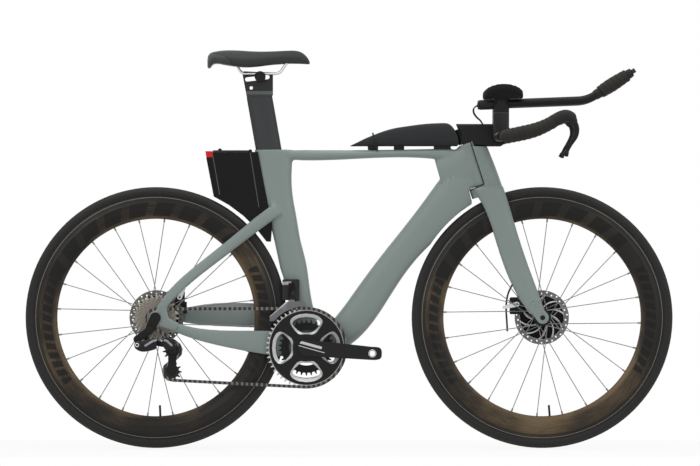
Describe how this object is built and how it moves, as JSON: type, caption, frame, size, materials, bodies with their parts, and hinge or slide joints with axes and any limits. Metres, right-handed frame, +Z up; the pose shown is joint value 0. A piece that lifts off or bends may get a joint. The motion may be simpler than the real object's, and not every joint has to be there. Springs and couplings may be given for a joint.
{
  "type": "time trial bike",
  "caption": "Time trial bicycle with aero frame, deep rims, base bar with extensions and arm rests, disc brakes, geared chain drive, rear storage box and top tube bag.",
  "frame": {"origin": "on the ground half way between the two axles, in the wheels' plane", "axes": "+X forward, +Y to the rider's left, +Z up"},
  "size_m": [1.6659, 0.434, 1.0232],
  "materials": {
    "frame_paint": "satin grey green paint on carbon",
    "black_metal": "black anodised",
    "steel": "brushed",
    "gloss_black": "gloss black",
    "red_lens": "clear red lens",
    "bag_cloth": "coated dark cloth",
    "satin_black": "satin black",
    "silver_metal": "polished",
    "chain_steel": "nickel plated",
    "pulley_plastic": "moulded",
    "tape": "wound grip tape",
    "rubber_black": "moulded rubber",
    "cup_plastic": "matte",
    "pad_foam": "soft foam with cloth face",
    "cable_black": "sleeved cable",
    "button_plastic": "moulded",
    "tyre": "tan free black rubber",
    "rim_carbon": "dark bronze carbon",
    "spoke_steel": "black coated",
    "cog_steel": "plated",
    "ring_metal": "anodised, machined teeth",
    "saddle_cover": "matte synthetic leather"
  },
  "bodies": {
    "frame": {"head_tube": "frame_paint", "top_tube": "frame_paint", "down_tube": "frame_paint", "seat_tube": "frame_paint", "chainstays": "frame_paint", "seatstays": "frame_paint", "frame_hardware": "black_metal", "frame_bearings": "steel", "rear_axle": "black_metal", "storage_box": "gloss_black", "rear_light": "red_lens", "top_tube_bag": "bag_cloth", "front_derailleur_body": "satin_black", "rear_caliper": "black_metal", "chain": "chain_steel", "rear_derailleur_body": "satin_black"},
    "steering": {"fork": "frame_paint", "stem": "satin_black", "base_bar": "satin_black", "grip_tape": "tape", "control_housings": "rubber_black", "riser_columns": "satin_black", "extensions": "satin_black", "arm_cups": "cup_plastic", "arm_pads": "pad_foam", "front_caliper": "black_metal", "front_cables": "cable_black", "front_axle": "black_metal"},
    "front_wheel": {"front_tyre": "tyre", "front_rim": "rim_carbon", "front_spokes": "spoke_steel", "front_hub": "black_metal", "front_rotor": "steel"},
    "rear_wheel": {"rear_tyre": "tyre", "rear_rim": "rim_carbon", "rear_spokes": "spoke_steel", "rear_hub": "black_metal", "rear_rotor": "steel"},
    "cassette": {"cassette": "cog_steel"},
    "crank": {"crank_right": "gloss_black", "chainrings": "ring_metal", "crank_left": "gloss_black"},
    "brake_lever_right": {"brake_lever_right": "black_metal"},
    "brake_lever_left": {"brake_lever_left": "black_metal"},
    "shift_button_right": {"shift_button_right": "button_plastic"},
    "shift_button_left": {"shift_button_left": "button_plastic"},
    "front_caliper_arm": {"front_caliper_arm": "silver_metal"},
    "rear_caliper_arm": {"rear_caliper_arm": "silver_metal"},
    "front_derailleur_cage": {"front_derailleur_cage": "steel"},
    "derailleur_link": {"derailleur_link": "satin_black"},
    "derailleur_knuckle": {"derailleur_knuckle": "satin_black"},
    "derailleur_cage": {"derailleur_cage": "satin_black"},
    "guide_pulley": {"guide_pulley": "pulley_plastic"},
    "tension_pulley": {"tension_pulley": "pulley_plastic"},
    "seatpost": {"seatpost": "satin_black", "saddle_clamp": "black_metal"},
    "saddle": {"saddle_rails": "silver_metal", "saddle_base": "cup_plastic", "saddle_cover": "saddle_cover"},
    "storage_box_lid": {"storage_box_lid": "gloss_black"}
  },
  "joints": [
    {"name": "steering", "type": "hinge", "parent": "frame", "child": "steering", "pos_m": [0.32163, 0, 0.7301], "axis": [-0.309, 0, 0.9511], "range_deg": [-25, 25]},
    {"name": "front_wheel_spin", "type": "hinge", "parent": "steering", "child": "front_wheel", "pos_m": [0.497, 0, 0.336], "axis": [0, 1, 0], "continuous": true},
    {"name": "rear_wheel_spin", "type": "hinge", "parent": "frame", "child": "rear_wheel", "pos_m": [-0.497, 0, 0.336], "axis": [0, 1, 0], "continuous": true},
    {"name": "crank_spin", "type": "hinge", "parent": "frame", "child": "crank", "pos_m": [-0.10962, 0, 0.2588], "axis": [0, 1, 0], "continuous": true, "deforming": ["chain"]},
    {"name": "cassette_spin", "type": "hinge", "parent": "frame", "child": "cassette", "pos_m": [-0.497, 0, 0.336], "axis": [0, 1, 0], "continuous": true, "deforming": ["chain"]},
    {"name": "derailleur_swing", "type": "hinge", "parent": "frame", "child": "derailleur_link", "pos_m": [-0.521, -0.094, 0.277], "axis": [0.1974, 0, 0.9803], "range_deg": [0, 34.95], "deforming": ["chain"]},
    {"name": "knuckle_swing", "type": "hinge", "parent": "derailleur_link", "child": "derailleur_knuckle", "pos_m": [-0.4634, -0.1125, 0.2654], "axis": [0.1974, 0, 0.9803], "range_deg": [-34.95, 0], "deforming": ["chain"]},
    {"name": "cage_swing", "type": "hinge", "parent": "derailleur_knuckle", "child": "derailleur_cage", "pos_m": [-0.4534, 0, 0.2524], "axis": [0, 1, 0], "range_deg": [-45, 12], "deforming": ["chain"]},
    {"name": "guide_pulley_spin", "type": "hinge", "parent": "derailleur_cage", "child": "guide_pulley", "pos_m": [-0.4534, 0, 0.2524], "axis": [0, 1, 0], "continuous": true, "deforming": ["chain"]},
    {"name": "tension_pulley_spin", "type": "hinge", "parent": "derailleur_cage", "child": "tension_pulley", "pos_m": [-0.45433, 0, 0.19841], "axis": [0, 1, 0], "continuous": true, "deforming": ["chain"]},
    {"name": "front_derailleur_swing", "type": "hinge", "parent": "frame", "child": "front_derailleur_cage", "pos_m": [-0.14762, -0.0395, 0.4198], "axis": [1, 0, 0], "range_deg": [0, 5], "deforming": ["chain"]},
    {"name": "brake_lever_right_pull", "type": "hinge", "parent": "steering", "child": "brake_lever_right", "pos_m": [0.56602, -0.2, 0.85231], "axis": [0, 1, 0], "range_deg": [0, 22], "stiffness_Nm_per_rad": 0.4},
    {"name": "brake_lever_left_pull", "type": "hinge", "parent": "steering", "child": "brake_lever_left", "pos_m": [0.56602, 0.2, 0.85231], "axis": [0, 1, 0], "range_deg": [0, 22], "stiffness_Nm_per_rad": 0.4},
    {"name": "rear_caliper_arm_pull", "type": "hinge", "parent": "frame", "child": "rear_caliper_arm", "pos_m": [-0.437, 0, 0.388], "axis": [0, 1, 0], "range_deg": [0, 18]},
    {"name": "front_caliper_arm_pull", "type": "hinge", "parent": "steering", "child": "front_caliper_arm", "pos_m": [0.433, 0, 0.37], "axis": [0, 1, 0], "range_deg": [0, 18]},
    {"name": "shift_button_right_press", "type": "slide", "parent": "steering", "child": "shift_button_right", "axis": [-0.8438, 0, -0.5366], "range_m": [0, 0.0015], "stiffness_N_per_m": 300},
    {"name": "shift_button_left_press", "type": "slide", "parent": "steering", "child": "shift_button_left", "axis": [-0.8438, 0, -0.5366], "range_m": [0, 0.0015], "stiffness_N_per_m": 300},
    {"name": "seatpost_height", "type": "slide", "parent": "frame", "child": "seatpost", "axis": [-0.1736, 0, 0.9848], "range_m": [-0.02, 0.03]},
    {"name": "saddle_setback", "type": "slide", "parent": "seatpost", "child": "saddle", "axis": [1, 0, 0], "range_m": [-0.015, 0.015]},
    {"name": "storage_lid", "type": "hinge", "parent": "frame", "child": "storage_box_lid", "pos_m": [-0.25392, 0, 0.76531], "axis": [0, 1, 0], "range_deg": [0, 75]}
  ],
  "couplings": [
    {"joint": "cassette_spin", "follows": "crank_spin", "ratio": 4.5455},
    {"joint": "guide_pulley_spin", "follows": "crank_spin", "ratio": -4.5455},
    {"joint": "tension_pulley_spin", "follows": "crank_spin", "ratio": 4.5455},
    {"joint": "knuckle_swing", "follows": "derailleur_swing", "ratio": -1},
    {"joint": "rear_caliper_arm_pull", "follows": "brake_lever_right_pull", "ratio": 0.6},
    {"joint": "front_caliper_arm_pull", "follows": "brake_lever_left_pull", "ratio": 0.6}
  ]
}
